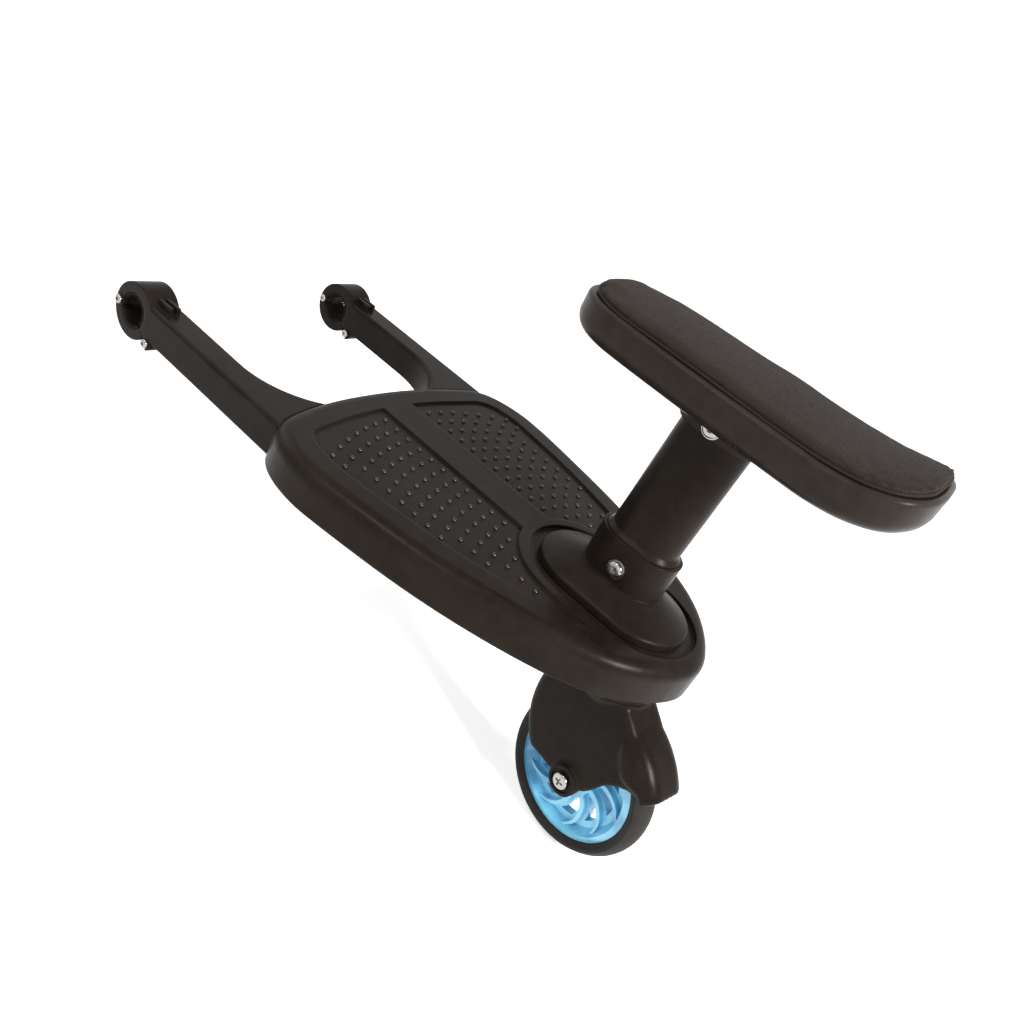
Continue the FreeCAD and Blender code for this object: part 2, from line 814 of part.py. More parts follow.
def make_deck():
    block = deck_prism(0, deck_bottom_z, d.deck_top_z)
    block = block.makeFillet(float(d.deck_round), edges_at(block, d.deck_top_z))
    block = block.makeChamfer(float(d.deck_foot_bevel), edges_at(block, deck_bottom_z))
    shell = block.cut(deck_prism(d.deck_wall, deck_bottom_z - d.cut_over, deck_under_z))
    boss = post_rod(d.boss_radius, d.swivel_y, deck_bottom_z - d.boss_drop,
                    deck_under_z + d.deck_plate / 2)
    deck = shell.fuse([deck_ribs(), boss])
    roots = arm_bar(deck_bottom_z - d.boss_drop - d.cut_over, deck_under_z, d.arm_fit)
    panels = stud_panels(d.deck_top_z - d.panel_depth - d.panel_bed, d.deck_top_z + d.cut_over)
    recess = stadium_prism(d.base_length + 2 * d.groove_width, d.base_width + 2 * d.groove_width,
                           d.base_y, base_floor_z, d.deck_top_z + d.cut_over)
    bush_top = deck_bottom_z - d.boss_drop + d.bush_length
    bores = [post_rod(d.kingpin_radius + d.bush_wall, d.swivel_y, deck_bottom_z - d.deck_depth,
                      d.deck_top_z),
             post_rod(d.nut_pocket_radius, d.swivel_y, bush_top, d.deck_top_z)]
    for x, y in base_screw_spots():
        bores += screw_hole(x, y, deck_under_z - d.screw_head_height, d.deck_top_z)
    for x, y in arm_screw_spots():
        bores.append(Part.makeCylinder(float(d.screw_radius), float(d.arm_screw_bite),
                                       vec(x, y, deck_under_z)))
    deck = deck.cut([roots, mirrored(roots), panels, recess] + bores)
    return formed("deck", deck.fuse(stud_plates()))


def make_clamp(side_name, x):
    place = Placement(vec(x, clamp_y, d.clamp_z), Rotation())
    formed("clamp_jaw_" + side_name, clamp_jaw(), place)
    outer = shell_bore - d.liner_fit
    half = d.arm_width / 2
    end = float(d.liner_end_angle)
    upper = sector(d.clamp_bore_radius, outer, end, float(d.lug_angle) - end / 4, -half, half)
    lower = sector(d.clamp_bore_radius, outer, float(d.lug_angle) + end / 4, 360 - end, -half, half)
    formed("clamp_liner_" + side_name, upper, place)
    formed("jaw_liner_" + side_name, lower, place)
    # Heads face the left of the board on both clamps, as the photo shows
    head_x = -half - d.pin_head_height - d.seat_gap
    grip = d.arm_width + d.seat_gap
    for name, spot, extra in (("pin", hinge_spot(), 0), ("bolt", lug_spot(), d.clamp_nut_height)):
        corners = headed(d.pin_head_radius, d.pin_head_height, d.pin_radius, grip + extra + d.seat_gap)
        offset = Placement(vec(head_x, *spot), ALONG_X)
        turned(f"clamp_{name}_{side_name}", corners, place.multiply(offset))
    nut_place = Placement(vec(half + d.seat_gap, *lug_spot()), ALONG_X)
    hex_nut("clamp_nut_" + side_name, d.clamp_nut_radius, d.clamp_nut_height,
            d.pin_radius + d.pin_fit, place.multiply(nut_place))


def make_seat_base():
    # Oval pedestal: upright edge, sloping shoulder and an open socket for the post
    edge_z = base_floor_z + d.base_edge
    edge = stadium_prism(d.base_length, d.base_width, d.base_y, base_floor_z, edge_z)
    shoulder = Part.makeLoft([stadium(d.base_length, d.base_width, d.base_y, edge_z),
                              stadium(d.stump_length + d.post_lip, d.stump_width + d.post_lip,
                                      d.base_y, d.stump_foot_z)], True, True)
    body = edge.fuse(shoulder).removeSplitter()
    body = body.makeFillet(float(d.base_edge_round), edges_at(body, edge_z))
    stump = stadium_prism(d.stump_length, d.stump_width, d.base_y,
                          edge_z, d.stump_top_z)
    socket = stadium_prism(tenon_length() + 2 * d.tenon_fit, tenon_width() + 2 * d.tenon_fit,
                           d.base_y, d.stump_top_z - d.tenon_depth, d.stump_top_z + d.cut_over)
    half = d.stump_width / 2
    bolt_hole = rod(d.cross_bolt_radius + d.screw_fit, -half - d.cut_over, half + d.cut_over,
                    d.base_y, d.base_bolt_z)
    holes = [Part.makeCylinder(float(d.screw_radius), float(d.screw_bite + d.base_edge / 2),
                               vec(x, y, base_floor_z)) for x, y in base_screw_spots()]
    return formed("seat_base", body.fuse(stump).cut([socket, bolt_hole] + holes).removeSplitter())


def tenon_length():
    return d.post_length - 2 * d.tenon_inset


def tenon_width():
    return d.post_width - 2 * d.tenon_inset


def post_top_y():
    return d.base_y - d.post_lean


def post_y_at(z):
    # The post leans back evenly from its lip to its top
    lip_top = float(d.stump_top_z + d.post_lip_height)
    top = float(d.seat_bottom_z + d.socket_depth - d.tenon_fit)
    return float(d.base_y) - float(d.post_lean) * (float(z) - lip_top) / (top - lip_top)


def make_seat_post():
    top_z = d.seat_bottom_z + d.socket_depth - d.tenon_fit
    lip_top = d.stump_top_z + d.post_lip_height
    lip = Part.makeLoft([
        stadium(d.post_length + 2 * d.post_lip, d.post_width + 2 * d.post_lip, d.base_y, d.stump_top_z),
        stadium(d.post_length, d.post_width, d.base_y, lip_top)], True, True)
    bore_length, bore_width = (tenon_length() - 2 * d.post_wall, tenon_width() - 2 * d.post_wall)
    shaft = Part.makeLoft([stadium(d.post_length, d.post_width, d.base_y, lip_top),
                           stadium(d.post_length, d.post_width, post_top_y(), top_z)], True, True)
    tenon_z = d.stump_top_z - d.tenon_depth + d.tenon_fit
    tenon = stadium_prism(tenon_length(), tenon_width(), d.base_y, tenon_z, d.stump_top_z)
    hollow = stadium_prism(bore_length, bore_width, d.base_y, tenon_z - d.cut_over, lip_top)
    half = d.post_width / 2
    holes = [rod(d.cross_bolt_radius + d.screw_fit, -half - d.cut_over, half + d.cut_over, y, z)
             for y, z in ((d.base_y, d.base_bolt_z), (post_y_at(seat_bolt_z()), seat_bolt_z()))]
    return formed("seat_post", shaft.fuse([lip, tenon]).cut([hollow] + holes).removeSplitter())


def seat_bolt_z():
    return d.seat_bottom_z - d.socket_height / 2


def seat_path(z):
    # Side view of the saddle's top or bottom: level, then an arc that lifts the rear end; both
    # ends run a little past the plan outline that trims them
    run, rise = float(seat_kick_run), float(d.seat_kick)
    radius = (run ** 2 + rise ** 2) / (2 * rise)
    turn = math.atan2(run, radius - rise)
    start_y = float(seat_rear_y) + run
    front_y = float(seat_rear_y + d.seat_length + d.cut_over)
    turn += float(d.cut_over) / radius
    centre_z = float(z) + radius

    def on_arc(angle):
        return Vector(0, start_y - radius * math.sin(angle), centre_z - radius * math.cos(angle))

    return Vector(0, front_y, float(z)), on_arc(0), on_arc(turn / 2), on_arc(turn)


def seat_slab(z0, z1, half):
    # Bent plate between two side-view paths, as wide as the saddle
    front0, start0, middle0, end0 = seat_path(z0)
    front1, start1, middle1, end1 = seat_path(z1)
    wire = Part.Wire([
        Part.LineSegment(front0, start0).toShape(), Part.Arc(start0, middle0, end0).toShape(),
        Part.LineSegment(end0, end1).toShape(), Part.Arc(end1, middle1, start1).toShape(),
        Part.LineSegment(start1, front1).toShape(), Part.LineSegment(front1, front0).toShape(),
    ])
    face = Part.Face(wire)
    face.translate(vec(-float(half)))
    return face.extrude(vec(2 * float(half)))


def upward(face):
    # How far the middle of a face looks up or down
    u0, u1, v0, v1 = face.ParameterRange
    return face.normalAt((u0 + u1) / 2, (v0 + v1) / 2).z


def rim_edges(shape, upper):
    # Edges round the saddle's top or bottom face
    steep = math.sqrt(1 / 2)
    flat = [f for f in shape.Faces if abs(upward(f)) > steep and (upward(f) > 0) == upper]
    sides = [f for f in shape.Faces if abs(upward(f)) <= steep]
    found = []
    for face in flat:
        for edge in face.Edges:
            if any(edge.isSame(other) for side in sides for other in side.Edges):
                found.append(edge)
    return found


def make_seat_pan():
    half = d.seat_width / 2 + d.cut_over
    high = seat_top_z + d.seat_kick + d.seat_thick
    pan = seat_slab(d.seat_bottom_z, seat_top_z, half)
    pan = pan.common(seat_prism(0, d.seat_bottom_z - d.cut_over, high))
    pan = pan.makeFillet(float(seat_round), rim_edges(pan, False))
    pan = pan.makeFillet(float(d.seat_top_round), rim_edges(pan, True))
    outer_length, outer_width = (d.post_length + 2 * d.socket_wall, d.post_width + 2 * d.socket_wall)
    collar = stadium_prism(outer_length, outer_width, post_top_y(),
                           d.seat_bottom_z - d.socket_height, d.seat_bottom_z + seat_round)
    half_collar = outer_width / 2
    room_length, room_width = d.post_length + 2 * d.tenon_fit, d.post_width + 2 * d.tenon_fit
    room_ends = (d.seat_bottom_z - d.socket_height - d.cut_over, d.seat_bottom_z + d.socket_depth)
    post_room = Part.makeLoft([stadium(room_length, room_width, post_y_at(z), z) for z in room_ends],
                              True, True)
    bolt_hole = rod(d.cross_bolt_radius + d.screw_fit, -half_collar - d.cut_over,
                    half_collar + d.cut_over, post_y_at(seat_bolt_z()), seat_bolt_z())
    holes = []
    for share in PAD_SCREW_SHARES:
        y = seat_rear_y + d.seat_length * share
        holes += screw_hole(0, y, d.seat_bottom_z, seat_top_z + d.seat_kick)
    return formed("seat_pan", pan.fuse(collar).cut([post_room, bolt_hole] + holes).removeSplitter())


def make_seat_pad():
    # Crowned pad that follows the saddle's top; each cross section is flat below and arched above
    half = float(d.seat_width / 2)
    low, edge, crown = seat_top_z + d.pad_gap, d.pad_thick, d.pad_thick + d.pad_crown
    front, start, middle, end = seat_path(low)
    stations = [front, (front + start) * 0.5, start, middle, end]
    sections = []
    for spot in stations:
        left, right = Vector(-half, spot.y, spot.z), Vector(half, spot.y, spot.z)
        rise = vec(0, 0, edge)
        top = Vector(0, spot.y, spot.z) + vec(0, 0, crown)
        sections.append(Part.Wire([
            Part.LineSegment(left, right).toShape(),
            Part.LineSegment(right, right + rise).toShape(),
            Part.Arc(right + rise, top, left + rise).toShape(),
            Part.LineSegment(left + rise, left).toShape(),
        ]))
    slab = Part.makeLoft(sections, True, False)
    pan_top = seat_slab(seat_top_z - d.seat_thick, low, d.seat_width)
    pad = slab.cut(pan_top)
    pad = pad.common(seat_prism(d.pad_inset, seat_top_z, seat_top_z + d.seat_kick + d.seat_thick))
    holes = []
    for share in PAD_SCREW_SHARES:
        y = seat_rear_y + d.seat_length * share
        holes.append(Part.makeCylinder(float(d.screw_radius), float(d.cut_over + d.screw_bite),
                                       vec(0, y, low - d.cut_over)))
    return formed("seat_pad", pad.cut(holes))


def make_screws():
    length = deck_under_z - arm_bottom_z - d.screw_head_height + d.arm_screw_bite
    screw = turned_body("arm_screw", headed(d.screw_head_radius, d.screw_head_height, d.screw_radius,
                                            length - d.seat_gap), Placement())
    copies("arm_screws", screw, [Placement(vec(x, y, arm_bottom_z), Rotation())
                                 for x, y in arm_screw_spots()])
    head_z = deck_under_z - d.screw_head_height
    screw = turned_body("base_screw", headed(d.screw_head_radius, d.screw_head_height, d.screw_radius,
                                             base_floor_z - deck_under_z + d.screw_bite),
                        Placement())
    copies("base_screws", screw, [Placement(vec(x, y, head_z), Rotation())
                                  for x, y in base_screw_spots()])
    screw = turned_body("pad_screw", headed(d.screw_head_radius, d.screw_head_height, d.screw_radius,
                                            d.seat_thick), Placement())
    copies("pad_screws", screw, [Placement(vec(0, seat_rear_y + d.seat_length * share,
                                               d.seat_bottom_z), Rotation())
                                 for share in PAD_SCREW_SHARES])


def make_cross_bolt(name, y, z, width):
    # Button-headed bolt through a socket, with a washer below the head and a nut on the far side
    half = width / 2
    washer_x = -half - d.cross_washer_thick
    head_x = washer_x - d.cross_head_height
    length = width + d.cross_washer_thick + d.cross_nut_height + d.seat_gap
    turned(name + "_bolt", headed(d.cross_head_radius, d.cross_head_height, d.cross_bolt_radius, length),
           Placement(vec(head_x, y, z), ALONG_X))
    ring(name + "_washer", d.cross_bolt_radius + d.screw_fit, d.cross_washer_radius,
         d.cross_washer_thick, Placement(vec(washer_x, y, z), ALONG_X))
    hex_nut(name + "_nut", d.cross_nut_radius, d.cross_nut_height, d.cross_bolt_radius + d.pin_fit,
            Placement(vec(half, y, z), ALONG_X))


def caster_place():
    return Placement(vec(0, d.swivel_y), Rotation(UP, float(d.caster_yaw)))


def axle_place(x=0):
    # Frame whose Z axis runs along the axle, starting at a distance from the wheel's middle
    return caster_place().multiply(Placement(vec(x, -d.trail, wheel_radius), ALONG_X))


def hood_points(shares):
    return [vec(0, d.hood_radius * y, d.hood_radius * z) for y, z in shares]


def hood_block(roof, edge, half):
    # Side view between a roof curve and a lower edge, as thick as the fork
    wire = Part.Wire([open_curve(roof).toShape(), Part.LineSegment(roof[-1], edge[0]).toShape(),
                      open_curve(edge).toShape(), Part.LineSegment(edge[-1], roof[0]).toShape()])
    face = Part.Face(wire)
    face.translate(vec(-float(half)))
    return face.extrude(vec(2 * float(half)))


def roof_edges(block, half):
    # The long curved edges where the roof meets both side faces
    low = float(d.hood_radius)
    return [e for e in block.Edges
            if abs(abs(e.CenterOfMass.x) - float(half)) < float(d.liner_fit)
            and e.BoundBox.ZMax > low and e.Length > low]


def fender_block(half):
    # Raised rear fender: a round-shouldered ring about the axle, trimmed by its side view
    edge = hood_points(FENDER_EDGE_SHARES)
    lip = hood_points(HOOD_ROOF_SHARES)[-1]
    outer = float(d.hood_radius + d.fender_rise)
    side, bend, root = float(half), float(d.fender_round), float(d.cheek_boss_radius)
    low, mid = outer - bend, bend * (1 - math.sqrt(1 / 2))
    wire = Part.Wire([
        Part.LineSegment(Vector(-side, 0, root), Vector(-side, 0, low)).toShape(),
        Part.Arc(Vector(-side, 0, low), Vector(mid - side, 0, outer - mid),
                 Vector(bend - side, 0, outer)).toShape(),
        Part.LineSegment(Vector(bend - side, 0, outer), Vector(side - bend, 0, outer)).toShape(),
        Part.Arc(Vector(side - bend, 0, outer), Vector(side - mid, 0, outer - mid),
                 Vector(side, 0, low)).toShape(),
        Part.LineSegment(Vector(side, 0, low), Vector(side, 0, root)).toShape(),
        Part.LineSegment(Vector(side, 0, root), Vector(-side, 0, root)).toShape(),
    ])
    ring_part = Part.Face(wire).revolve(Vector(0, 0, 0), Vector(1, 0, 0), 90)
    far = [Vector(p).normalize() * (outer + float(d.hood_clear)) for p in (edge[-1], lip)]
    corner = (far[0] + far[1]).normalize() * (2 * outer)
    trim = Part.Wire([open_curve(edge).toShape(), Part.LineSegment(edge[-1], far[0]).toShape(),
                      Part.LineSegment(far[0], corner).toShape(),
                      Part.LineSegment(corner, far[1]).toShape(),
                      Part.LineSegment(far[1], edge[0]).toShape()])
    trim = Part.Face(trim)
    over = side + float(d.cut_over)
    trim.translate(vec(-over))
    return ring_part.common(trim.extrude(vec(2 * over)))


def make_fork():
    # Drawn about the axle, then lifted to its place behind the swivel
    roof, edge = hood_points(HOOD_ROOF_SHARES), hood_points(CHEEK_EDGE_SHARES)
    half = d.fork_width / 2
    hood = hood_block(roof, edge, half)
    hood = hood.makeFillet(float(d.hood_round), roof_edges(hood, half))
    fender = fender_block(half + d.fender_step)
    lift = float(crown_top_z) - float(wheel_radius)
    centre = vec(0, d.trail)
    crown = Part.makeCylinder(float(d.crown_radius), float(d.crown_thick),
                              centre + vec(0, 0, lift - float(d.crown_thick)))
    cone = Part.makeCone(float(half), float(d.crown_radius), float(d.crown_cone),
                         centre + vec(0, 0, lift - float(d.crown_thick + d.crown_cone)))
    boss_half = half + d.cheek_boss_height
    boss = rod(d.cheek_boss_radius, -boss_half, boss_half, 0, 0)
    gap = d.fork_gap / 2
    room = rod(wheel_radius + d.hood_clear, -gap, gap, 0, 0)
    room = room.makeFillet(float(d.wheel_room_round),
                           [e for e in room.Edges if e.BoundBox.XLength < float(gap)])
    bore = rod(d.axle_radius + d.axle_fit, -boss_half - d.cut_over, boss_half + d.cut_over, 0, 0)
    pin = Part.makeCylinder(float(d.kingpin_radius), float(kingpin_root() + d.cut_over),
                            centre + vec(0, 0, lift - float(kingpin_root())))
    fork = hood.fuse([fender, crown, cone, boss]).cut([room, bore, pin]).removeSplitter()
    place = caster_place().multiply(Placement(vec(0, -d.trail, wheel_radius), Rotation()))
    return formed("caster_fork", fork, place)


def kingpin_root():
    # Depth of the kingpin in the fork's crown
    return d.crown_thick + d.crown_cone / 2


def make_swivel():
    # Bush and thrust race stay with the deck; pin, washer and nut turn with the fork
    bottom = deck_bottom_z - d.boss_drop
    inner = d.kingpin_radius + d.swivel_fit
    outer = d.kingpin_radius + d.bush_wall
    ring("swivel_bush", inner, outer, d.bush_length, Placement(vec(0, d.swivel_y, bottom), Rotation()))
    ring("swivel_race", outer, d.race_radius, d.race_thick,
         Placement(vec(0, d.swivel_y, crown_top_z + d.swivel_gap), Rotation()))
    washer_z = bottom + d.bush_length + d.swivel_gap
    nut_z = washer_z + d.kingpin_washer_thick
    root_z = crown_top_z - kingpin_root()
    place = caster_place()
    top = nut_z + d.kingpin_nut_height - root_z
    turned("kingpin", [(0, 0), (d.kingpin_radius, 0), (d.kingpin_radius, top), (0, top)],
           place.multiply(Placement(vec(0, 0, root_z), Rotation())))
    ring("kingpin_washer", inner, d.kingpin_washer_radius, d.kingpin_washer_thick,
         place.multiply(Placement(vec(0, 0, washer_z), Rotation())))
    hex_nut("kingpin_nut", d.kingpin_nut_radius, d.kingpin_nut_height, inner,
            place.multiply(Placement(vec(0, 0, nut_z), Rotation())))


def make_tyre():
    half, outer = d.tyre_width / 2, wheel_radius
    bead = d.rim_width / 2 - d.rim_bead
    shoulder = outer - d.tyre_shoulder
    middle = outer - d.rim_radius
    corners = [(d.rim_radius, -bead), (d.rim_radius + middle / 3, -half),
               (shoulder, -half, d.tyre_crown_radius),
               (shoulder, half), (d.rim_radius + middle / 3, half), (d.rim_radius, bead)]
    turned("tyre", corners, axle_place())


def spoke_points(turn, width):
    # One curved spoke from hub to band: both flanks are arcs that lean forward
    inner, outer = float(d.hub_radius), float(d.rim_radius - d.rim_band)

    def at(radius, angle):
        return Vector(radius * math.cos(angle), radius * math.sin(angle), 0)

    half = float(width) / 2
    lean = math.radians(float(SPOKE_LEAN_ANGLE))
    middle = (inner + outer) / 2
    return [[at(radius, turn + lean * share + sign * half / radius)
             for radius, share in ((inner, 0), (middle, SPOKE_BOW_SHARE), (outer, 1))]
            for sign in (-1, 1)]


def web_reach(share=WEB_REACH_SHARE):
    # Radius part of the way from the hub to the band; the flat web ends at the first share
    return d.hub_radius + (d.rim_radius - d.rim_band - d.hub_radius) * share


def window_face():
    # See-through window between two spokes, bounded by arcs
    pitch = 2 * math.pi / float(d.spoke_count)
    inner, outer = float(d.hub_radius * WINDOW_ROOT_SHARE), float(web_reach(WINDOW_REACH_SHARE))
    radii = (inner, (inner + outer) / 2, outer)
    lean = math.radians(SPOKE_LEAN_ANGLE)

    def at(step, across):
        angle = lean * WINDOW_LEAN_SHARES[step] + across * pitch * WINDOW_SHARE
        return Vector(radii[step] * math.cos(angle), radii[step] * math.sin(angle), 0)

    left, right = [[at(step, side) for step in range(3)] for side in (-1 / 2, 1 / 2)]
    return Part.Face(Part.Wire([
        Part.Arc(*left).toShape(),
        Part.Arc(left[2], at(2, 0), right[2]).toShape(),
        Part.Arc(*reversed(right)).toShape(),
        Part.Arc(right[0], at(0, 0), left[0]).toShape(),
    ]))


def make_rim():
    # Hub, thin web and outer band in one turning, curved windows and ribs repeated round it
    hub, band = d.hub_width / 2, d.rim_width / 2
    web, band_inner = d.web_thick / 2, d.rim_radius - d.rim_band
    bore = d.bearing_radius + d.bearing_fit
    shelf = d.bearing_radius - d.bearing_race
    seat = hub - d.bearing_width
    blank = turned_body("rim_blank", [
        (shelf, -seat), (bore, -seat), (bore, -hub), (d.hub_radius, -hub), (d.hub_radius, -web),
        (web_reach(), -web), (band_inner, -band), (d.rim_radius, -band + d.rim_bead),
        (d.rim_radius, band - d.rim_bead), (band_inner, band), (web_reach(), web), (d.hub_radius, web),
        (d.hub_radius, hub), (bore, hub), (bore, seat), (shelf, seat)], Placement())
    blank.recompute(True)
    rim = blank.Shape.copy()
    ribs, windows = [], []
    height = float(d.web_thick / 2 + d.spoke_rib_height)
    for step in range(int(float(d.spoke_count))):
        turn = 2 * math.pi * step / float(d.spoke_count)
        left, right = spoke_points(turn + math.pi / float(d.spoke_count), d.spoke_rib_width)
        wire = Part.Wire([Part.Arc(*left).toShape(), Part.LineSegment(left[2], right[2]).toShape(),
                          Part.Arc(*reversed(right)).toShape(),
                          Part.LineSegment(right[0], left[0]).toShape()])
        rib = Part.Face(wire)
        rib.translate(vec(0, 0, -height))
        ribs.append(rib.extrude(vec(0, 0, 2 * height)))
        window = window_face()
        window.rotate(Vector(0, 0, 0), UP, math.degrees(turn))
        window.translate(vec(0, 0, -height))
        windows.append(window.extrude(vec(0, 0, 2 * height)))
    formed("wheel_rim", rim.cut(windows).fuse(ribs).removeSplitter(), axle_place())


def make_bearing(label, x):
    inner, outer, width = d.axle_radius + d.axle_fit, d.bearing_radius, d.bearing_width
    race, groove = d.bearing_race, d.bearing_groove
    turned(label, [(inner, 0), (inner + race, 0), (inner + race, groove), (outer - race, groove),
                   (outer - race, 0), (outer, 0), (outer, width), (outer - race, width),
                   (outer - race, width - groove), (inner + race, width - groove),
                   (inner + race, width), (inner, width)], axle_place(x))


def make_wheel():
    make_tyre()
    make_rim()
    hub = d.hub_width / 2
    make_bearing("wheel_bearing_left", -hub)
    make_bearing("wheel_bearing_right", hub - d.bearing_width)
    seat = hub - d.bearing_width
    ring("bearing_spacer", d.axle_radius + d.axle_fit, d.spacer_radius, 2 * seat, axle_place(-seat))


def make_axle():
    boss = d.fork_width / 2 + d.cheek_boss_height
    head_x = -boss - d.axle_head_height
    length = 2 * boss + d.axle_nut_height
    radius, height = d.axle_head_radius, d.axle_head_height
    turned("axle_bolt", [(0, 0), (radius - d.axle_head_round, 0), (radius, d.axle_head_round),
                         (radius, height),
                         (d.axle_radius, height), (d.axle_radius, height + length),
                         (0, height + length)], axle_place(head_x))
    hex_nut("axle_nut", d.axle_nut_radius, d.axle_nut_height, d.axle_radius + d.axle_fit,
            axle_place(boss))
    inner = d.hub_width / 2 + d.spacer_gap
    width = d.fork_gap / 2 - inner
    collar = turned_body("axle_collar", [(d.axle_radius + d.axle_fit, 0), (d.spacer_radius, 0),
                                         (d.spacer_radius, width), (d.axle_radius + d.axle_fit, width)],
                         Placement())
    copies("axle_spacers", collar, [axle_place(-(inner + width)), axle_place(inner)])


make_deck()
make_arm("arm_right", 1)
make_arm("arm_left", -1)
make_clamp("right", arm_x)
make_clamp("left", -arm_x)
make_seat_base()
make_seat_post()
make_cross_bolt("base", d.base_y, d.base_bolt_z, d.stump_width)
make_cross_bolt("seat", post_y_at(seat_bolt_z()), seat_bolt_z(), d.post_width + 2 * d.socket_wall)
make_seat_pan()
make_seat_pad()
make_screws()
make_fork()
make_swivel()
make_wheel()
make_axle()
doc.recompute()

# Every object must be sound before anything is written
for obj in doc.Objects:
    if "Invalid" in obj.State or "Error" in obj.State:
        raise RuntimeError(f"{obj.Label} failed: {obj.State}")
for obj in NODES:
    if obj.Shape.isNull() or not obj.Shape.isValid() or not obj.Shape.Solids:
        raise RuntimeError(f"{obj.Label} has no sound shape")

os.makedirs("parts", exist_ok=True)
for obj in NODES:
    obj.Shape.exportStep(f"parts/{obj.Label}.step")
print(len(NODES), "pieces written")
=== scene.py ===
import json
import math

import bpy
from mathutils import Matrix, Vector


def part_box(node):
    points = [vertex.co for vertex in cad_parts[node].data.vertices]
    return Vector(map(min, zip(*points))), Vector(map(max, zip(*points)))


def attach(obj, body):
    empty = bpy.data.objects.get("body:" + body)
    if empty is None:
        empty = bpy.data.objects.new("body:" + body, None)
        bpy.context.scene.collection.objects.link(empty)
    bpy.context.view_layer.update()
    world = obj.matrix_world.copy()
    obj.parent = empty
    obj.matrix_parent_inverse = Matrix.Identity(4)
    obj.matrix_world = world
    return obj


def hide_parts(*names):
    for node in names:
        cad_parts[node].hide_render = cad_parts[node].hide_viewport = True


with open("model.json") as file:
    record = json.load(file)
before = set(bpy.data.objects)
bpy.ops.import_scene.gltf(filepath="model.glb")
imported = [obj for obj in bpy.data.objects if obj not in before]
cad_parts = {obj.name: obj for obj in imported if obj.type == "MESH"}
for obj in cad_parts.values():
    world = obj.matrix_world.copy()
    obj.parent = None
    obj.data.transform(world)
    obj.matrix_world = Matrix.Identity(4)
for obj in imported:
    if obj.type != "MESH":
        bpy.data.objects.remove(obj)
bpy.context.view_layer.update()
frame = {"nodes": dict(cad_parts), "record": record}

nodes = frame["nodes"]
print("frame loaded:", len(nodes), "nodes")


# Shader graph helpers

class Flow:
    def __init__(self, graph, socket):
        self.graph = graph
        self.socket = socket

    def sum(self, operation, a, b):
        return self.graph.node("Math", {"operation": operation}, {0: a, 1: b})

    def __add__(self, other): return self.sum("ADD", self, other)
    def __radd__(self, other): return self.sum("ADD", other, self)
    def __sub__(self, other): return self.sum("SUBTRACT", self, other)
    def __rsub__(self, other): return self.sum("SUBTRACT", other, self)
    def __mul__(self, other): return self.sum("MULTIPLY", self, other)
    def __rmul__(self, other): return self.sum("MULTIPLY", other, self)
    def __truediv__(self, other): return self.sum("DIVIDE", self, other)
    def __pow__(self, other): return self.sum("POWER", self, other)


class Graph:
    def __init__(self, holder):  # a material or a world
        self.holder = holder
        holder.use_nodes = True
        self.tree = holder.node_tree
        self.tree.nodes.clear()

    def node(self, kind, settings=None, inputs=None, out=0):
        made = self.tree.nodes.new("ShaderNode" + kind)
        for key, value in (settings or {}).items():
            if key == "stops":
                ramp = made.color_ramp.elements
                while len(ramp) < len(value):
                    ramp.new(0.5)
                for stop, (place, colour) in zip(ramp, value):
                    stop.position = place
                    stop.color = (*colour, 1) if len(colour) == 3 else colour
            else:
                setattr(made, key, value)
        for key, value in (inputs or {}).items():
            socket = made.inputs[key]
            if isinstance(value, Flow):
                self.tree.links.new(value.socket, socket)
            elif isinstance(value, (tuple, list)) and len(value) == 3 and socket.type == "RGBA":
                socket.default_value = (*value, 1)
            else:
                socket.default_value = value
        return Flow(self, made.outputs[out])

    def spot(self):
        return self.node("TexCoord", out="Object")

    def noise(self, scale, detail=3.0, roughness=0.55, where=None):
        return self.node("TexNoise", {}, {"Vector": where or self.spot(), "Scale": scale,
                                          "Detail": detail, "Roughness": roughness}, "Fac")

    def span(self, value, low, high, toLow, toHigh):
        return self.node("MapRange", {}, {"Value": value, "From Min": low, "From Max": high,
                                          "To Min": toLow, "To Max": toHigh}, "Result")

    def mix(self, share, first, second):
        return self.node("Mix", {"data_type": "RGBA"}, {"Factor": share, 6: first, 7: second}, 2)

    def bump(self, height, strength, distance, normal=None):
        inputs = {"Height": height, "Strength": strength, "Distance": distance}
        if normal:
            inputs["Normal"] = normal
        return self.node("Bump", {}, inputs, "Normal")

    def surface(self, **inputs):
        sockets = {key.replace("_", " "): value for key, value in inputs.items()}
        return self.show(self.node("BsdfPrincipled", {}, sockets))

    def show(self, shader, kind="Material"):
        out = self.tree.nodes.new("ShaderNodeOutput" + kind)
        self.tree.links.new(shader.socket, out.inputs["Surface"])
        return self.holder

    def larger(self, a, b):
        return self.node("Math", {"operation": "MAXIMUM"}, {0: a, 1: b})

    def whiteRays(self):  # rays that see the white background
        seen, shiny, through = [self.node("LightPath", out="Is " + kind + " Ray")
                                for kind in ("Camera", "Glossy", "Transmission")]
        return self.larger(seen, self.larger(shiny, through))


def newGraph(name):
    return Graph(bpy.data.materials.new(name))


# Materials

mouldedLook = {"dark": (0.009, 0.0066, 0.005), "light": (0.0156, 0.0117, 0.009), "rough": 0.3,
               "grain": 1500.0, "grainDepth": 0.00005, "edge": 0.002, "gloss": 0.065,
               "streaks": (30.0, 4.0, 30.0)}


